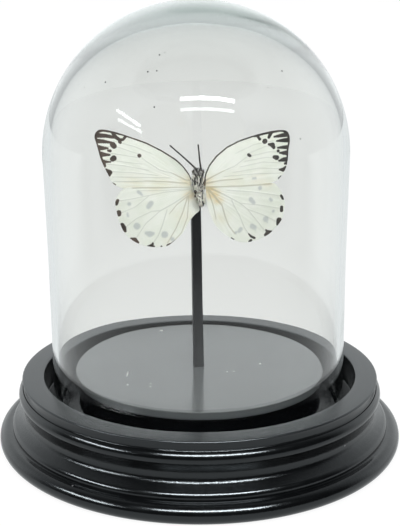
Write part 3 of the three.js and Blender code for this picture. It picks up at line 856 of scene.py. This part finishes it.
def strand(name, route, widths, nodes, segments):  # a jointed thread along a route, thick at its joints
    path = smoothed(route, 26)
    curve = bpy.data.curves.new(name + "Path", "CURVE")
    curve.dimensions = "3D"
    curve.bevel_depth = 1.0
    curve.bevel_resolution = 3
    curve.use_fill_caps = True
    line = curve.splines.new("POLY")
    line.points.add(len(path) - 1)
    for k, point in enumerate(path):
        t = k / (len(path) - 1)
        line.points[k].co = (*point, 1)
        pinch = 0.88 + 0.12 * abs(math.sin(t * segments * math.pi))
        line.points[k].radius = float(np.interp(t, [w[0] for w in widths], [w[1] for w in widths])) * pinch
    carrier = bpy.data.objects.new(name + "Path", curve)
    bpy.context.scene.collection.objects.link(carrier)
    mesh = bpy.data.meshes.new_from_object(carrier.evaluated_get(bpy.context.evaluated_depsgraph_get()))
    bpy.data.objects.remove(carrier)
    mesh.name = name
    mesh.transform(toRoom)
    piece = bpy.data.objects.new(pieceName(name), mesh)
    bpy.context.scene.collection.objects.link(piece)
    settlePiece(piece, chitin, nodes, 0)


for name, route in limbs["antennae"].items():
    strand(name, route, limbs["antennaWidths"], [name], 34)
for pair, route in limbs["legs"].items():
    for sideName, side in (("left", -1), ("right", 1)):
        bend = [(limbs["middle"] + side * x, y, z) for x, y, z in route]
        strand(f"{pair}_{sideName}", bend, limbs["legWidths"], [f"{pair}_{sideName}"], 9)
for sideName, side in (("left", -1), ("right", 1)):
    rows = face["palp"]
    bend = [(face["palpMiddle"] + side * x, y, z) for x, y, z, w in rows]
    strand(f"palp_{sideName}", bend, [(0, rows[0][3]), (.5, rows[1][3]), (1, rows[2][3])], [], 4)


# glue

glue = {"centre": (-1.0, -3.9, 89.6), "radii": (1.25, 1.05, 1.3), "lumps": 0.12}

glueLook, tree, shader = newMaterial("driedGlue")
coords = objectCoords(tree)
cloudy = noiseFrom(tree, coords, 900.0, 3.0, 0.5)
tint = blended(tree, spread(tree, cloudy, 0.3, 0.7), (0.52, 0.47, 0.34), (0.66, 0.62, 0.5))
coat(tree, shader, tint, spread(tree, cloudy, 0.3, 0.7, 0.2, 0.4))
shader.inputs["Coat Weight"].default_value = 0.4
bumped(tree, cloudy, 0.3, 0.0001, shader)
bm = bmesh.new()
bmesh.ops.create_uvsphere(bm, u_segments=40, v_segments=28, radius=1)
for vert in bm.verts:
    vert.co *= 1 + glue["lumps"] * noise.noise(vert.co * 1.3 + Vector((3, 1, 2)))
bmesh.ops.scale(bm, vec=Vector(glue["radii"]) * mm, verts=bm.verts)
bmesh.ops.translate(bm, vec=Vector(glue["centre"]) * mm, verts=bm.verts)
finishPiece("glueDab", bm, glueLook, ["glue_dab"], 0)
print("limbs and glue made")


# specks: seeds in the glass, flecks and a painted glint on the disc, dust in the groove

specks = {
    "seedRadius": 1.35, "seedDepth": 1.2, "fleckHeight": 0.15, "dustSink": 0.4, "dustHeight": 0.6,
    # seeds sit inside the wall: [angle round from the front, height, size]
    "seeds": [(-17.0, 133.5, .18), (-20.4, 129.0, .19), (-16.4, 129.3, .16), (-39.4, 125.6, .18), (-15.1, 119.7, .17),
              (40.3, 128.2, .18), (-50.5, 123.6, .1), (39.5, 109.3, .14), (30.0, 124.2, .1), (-14.6, 134.1, .1)],
    "dust": [(-4.6, -49.6, .16), (13.4, -49.4, .12), (19.8, -48.0, .14), (27.5, -44.6, .13), (-9.5, -51.0, .1),
             (4.5, -51.6, .1), (-21.0, -46.8, .12), (33.6, -39.8, .15), (-31.5, -42.0, .1), (40.0, -33.0, .12)],
}
seedLook, tree, shader = newMaterial("glassSeeds")
tint = blended(tree, noiseFrom(tree, objectCoords(tree), 3000.0), (0.03, 0.035, 0.035), (0.1, 0.11, 0.1))
coat(tree, shader, tint, 0.5)
bm = bmesh.new()
for angle, height, size in specks["seeds"]:
    up = max(0.0, height - dome["spring"])
    reach = math.sqrt(max(0.0, (springRadius - specks["seedDepth"]) ** 2 - up**2))
    spot = Vector((reach * math.sin(math.radians(angle)), -reach * math.cos(math.radians(angle)), height)) * mm
    bmesh.ops.create_icosphere(bm, subdivisions=2, radius=specks["seedRadius"] * size * mm,
                               matrix=domePlace @ Matrix.Translation(spot))
finishPiece("glassSeeds", bm, seedLook, [], 0)

fleckLook, tree, shader = newMaterial("paleFlecks")
tint = blended(tree, noiseFrom(tree, objectCoords(tree), 2500.0), (0.6, 0.6, 0.58), (0.85, 0.85, 0.82))
coat(tree, shader, tint, 0.7)
bm = bmesh.new()
# the last fleck is a painted glint: a pale bead where a droplet catches the light
for x, y, long, short, turn in disc["flecksAndGlint"]:
    spot = (Matrix.Translation(Vector((x, y, disc["top"])) * mm) @ Matrix.Rotation(math.radians(turn), 4, "Z")
            @ Matrix.Diagonal((long, short, specks["fleckHeight"], 1)))
    bmesh.ops.create_icosphere(bm, subdivisions=2, radius=mm, matrix=spot)
for x, y, size in specks["dust"]:
    spot = Matrix.Translation(Vector((x, y, base["grooveFloor"] + size * specks["dustSink"])) * mm)
    spot = spot @ Matrix.Diagonal((1, 1, specks["dustHeight"], 1))
    bmesh.ops.create_icosphere(bm, subdivisions=1, radius=size * mm, matrix=spot)
finishPiece("dustFlecks", bm, fleckLook, [], 0)
print("specks scattered")


# floor, light and camera

studio = {
    "floorSide": 24.0,
    "floorGlow": 0.9, "floorAlbedo": 0.16, "floorThroughGlass": 0.76, "floorBounce": 0.55,
    # what gloss sees in front: a pale table, then a dim room
    "floorNear": 0.85, "floorFar": 0.06, "fade": (0.13, 0.34), "fadeAcross": (-0.06, 0.06),
    "skyWhite": 1.0, "skyThroughGlass": 0.9, "skySoft": 0.62, "skyDark": 0.02, "skyInside": 0.25, "skyBack": 1.15,
    "skyCool": (0.955, 0.99, 1.0), "throughTint": (0.99, 1.0, 0.978), "besideBackdrop": 0.42, "backPanel": 1.75,
    # where the backdrop stands, by direction, and the lighter panel that the thick crown bends into view
    "behind": (-0.15, 0.45), "overhead": (0.35, 0.85, 1.0, 0.35), "aside": (0.16, 0.46),
    "panelAcross": (0.16, 0.24), "panelUp": (0.25, 0.31, 0.44, 0.49), "panelAfter": 2.5,
    # the two ends as (azimuth from the front, elevation), then distance, tallness, radiance and the only piece lit
    "lamps": {
        "ceilingTubes": ((-15.4, 48.8), (36.9, 44.6), 4.0, 0.19, 38.0, None),
        "sideTubes": ((-69.0, 30.9), (-43.9, 25.9), 4.0, 0.12, 13.0, None),
        "baseTubes": ((-28.0, 48.5), (44.0, 45.0), 4.1, 0.75, 31.0, "turnedBase"),
        "baseSideTubes": ((-84.0, 29.5), (-50.0, 27.0), 4.1, 0.5, 24.0, "turnedBase"),
    },
    "lampTint": (0.95, 0.985, 1.0), "middle": (0, 0, 0.09),
    "camera": {"at": (0.00013, -0.359, 0.161), "tilt": 15.51, "lens": 75.3, "sensor": 36, "clip": (0.01, 60)},
}


def rayDepths(tree, path):  # how often a ray was scattered, mirrored and let through, 1 at most
    kinds = ("Diffuse Depth", "Glossy Depth", "Transmission Depth")
    return [counted(tree, "MINIMUM", path.outputs[kind], 1.0) for kind in kinds]


def lightTint(tree, mirrored, through):
    direct = blended(tree, through, (1, 1, 1), studio["throughTint"])
    return blended(tree, mirrored, direct, studio["skyCool"])


floorLook, tree, shader = newMaterial("paleFloor")
tree.nodes.remove(shader)
bounced, mirrored, through = rayDepths(tree, addNode(tree, "ShaderNodeLightPath"))
coords = objectCoords(tree)
reach = addNode(tree, "ShaderNodeVectorMath", operation="LENGTH")
join(tree, coords, reach.inputs[0])
far = spread(tree, reach.outputs["Value"], *studio["fade"])
far = counted(tree, "MULTIPLY", far, spread(tree, alongAxis(tree, coords, "Y"), *studio["fadeAcross"], 1.0, 0.0))
strength = chosen(tree, through, studio["floorGlow"], studio["floorThroughGlass"])
strength = chosen(tree, mirrored, strength, chosen(tree, far, studio["floorNear"], studio["floorFar"]))
strength = chosen(tree, bounced, strength, studio["floorBounce"])
dull = addNode(tree, "ShaderNodeBsdfDiffuse")
grey = chosen(tree, mirrored, studio["floorAlbedo"], 0.0)
join(tree, grey, dull.inputs["Color"])
glow = addNode(tree, "ShaderNodeEmission")
join(tree, strength, glow.inputs["Strength"])
join(tree, lightTint(tree, mirrored, through), glow.inputs["Color"])
both = addNode(tree, "ShaderNodeAddShader")
join(tree, dull.outputs[0], both.inputs[0])
join(tree, glow.outputs[0], both.inputs[1])
join(tree, both.outputs[0], tree.nodes["Material Output"].inputs["Surface"])
floorLook.cycles.emission_sampling = "NONE"
bm = bmesh.new()
bmesh.ops.create_grid(bm, x_segments=8, y_segments=8, size=studio["floorSide"] / 2)
mesh = bpy.data.meshes.new("floor")
bm.to_mesh(mesh)
bm.free()
mesh.materials.append(floorLook)
floor = bpy.data.objects.new("floor", mesh)
bpy.context.scene.collection.objects.link(floor)

world = bpy.data.worlds.new("studio")
bpy.context.scene.world = world
world.use_nodes = True
world.cycles.sampling_method = "NONE"
tree = world.node_tree
sky = tree.nodes["Background"]
sky.inputs["Color"].default_value = (1, 1, 1, 1)
path = addNode(tree, "ShaderNodeLightPath")
bounced, mirrored, through = rayDepths(tree, path)
direction = addNode(tree, "ShaderNodeSeparateXYZ")
join(tree, addNode(tree, "ShaderNodeTexCoord").outputs["Generated"], direction.inputs[0])
behind = spread(tree, direction.outputs["Y"], *studio["behind"])
high = spread(tree, direction.outputs["Z"], *studio["overhead"])
across = counted(tree, "ABSOLUTE", direction.outputs["X"])
aside = spread(tree, across, *studio["aside"], 1.0, studio["besideBackdrop"])
back = chosen(tree, through, studio["skyBack"], counted(tree, "MULTIPLY", aside, studio["skyThroughGlass"]))
panel = counted(tree, "MULTIPLY", spread(tree, across, *studio["panelAcross"], 1.0, 0.0),
                band(tree, direction.outputs["Z"], *studio["panelUp"]))
deep = counted(tree, "GREATER_THAN", path.outputs["Transmission Depth"], studio["panelAfter"])
panel = counted(tree, "MULTIPLY", panel, deep)
back = counted(tree, "MULTIPLY", back, chosen(tree, panel, 1.0, studio["backPanel"]))
room = chosen(tree, through, studio["skyDark"], studio["skyInside"])
seen = chosen(tree, counted(tree, "MULTIPLY", behind, high), room, back)
strength = chosen(tree, through, studio["skyWhite"], studio["skyThroughGlass"])
strength = chosen(tree, mirrored, strength, seen)
strength = chosen(tree, bounced, strength, studio["skySoft"])
join(tree, strength, sky.inputs["Strength"])
join(tree, lightTint(tree, mirrored, through), sky.inputs["Color"])

middle = Vector(studio["middle"])
for name, (endA, endB, distance, tallness, radiance, only) in studio["lamps"].items():
    ends = []
    for azimuth, elevation in (endA, endB):
        a, e = math.radians(azimuth), math.radians(elevation)
        ends.append(middle + Vector((math.sin(a) * math.cos(e), -math.cos(a) * math.cos(e), math.sin(e))) * distance)
    centre, along = (ends[0] + ends[1]) / 2, ends[1] - ends[0]
    away = (centre - middle).normalized()
    side = along.normalized()
    light = bpy.data.lights.new(name, "AREA")
    light.shape = "RECTANGLE"
    light.size, light.size_y = along.length, tallness
    light.color = studio["lampTint"]
    light.energy = radiance * math.pi * along.length * tallness
    lamp = bpy.data.objects.new(name, light)
    lamp.matrix_world = Matrix.Translation(centre) @ Matrix((side, away.cross(side), away)).transposed().to_4x4()
    bpy.context.scene.collection.objects.link(lamp)
    if only:
        group = bpy.data.collections.new(name + "Reach")
        group.objects.link(bpy.data.objects[only])
        lamp.light_linking.receiver_collection = group

view = studio["camera"]
camera = bpy.data.cameras.new("camera")
camera.lens, camera.sensor_width = view["lens"], view["sensor"]
camera.clip_start, camera.clip_end = view["clip"]
viewer = bpy.data.objects.new("camera", camera)
viewer.location = view["at"]
viewer.rotation_euler = (math.radians(90 - view["tilt"]), 0, 0)
bpy.context.scene.collection.objects.link(viewer)
bpy.context.scene.camera = viewer
bpy.context.scene.view_settings.view_transform = "Standard"
rays = bpy.context.scene.cycles
rays.max_bounces, rays.transmission_bounces, rays.glossy_bounces, rays.diffuse_bounces = 28, 24, 16, 3
rays.caustics_reflective = False
print("studio lit")
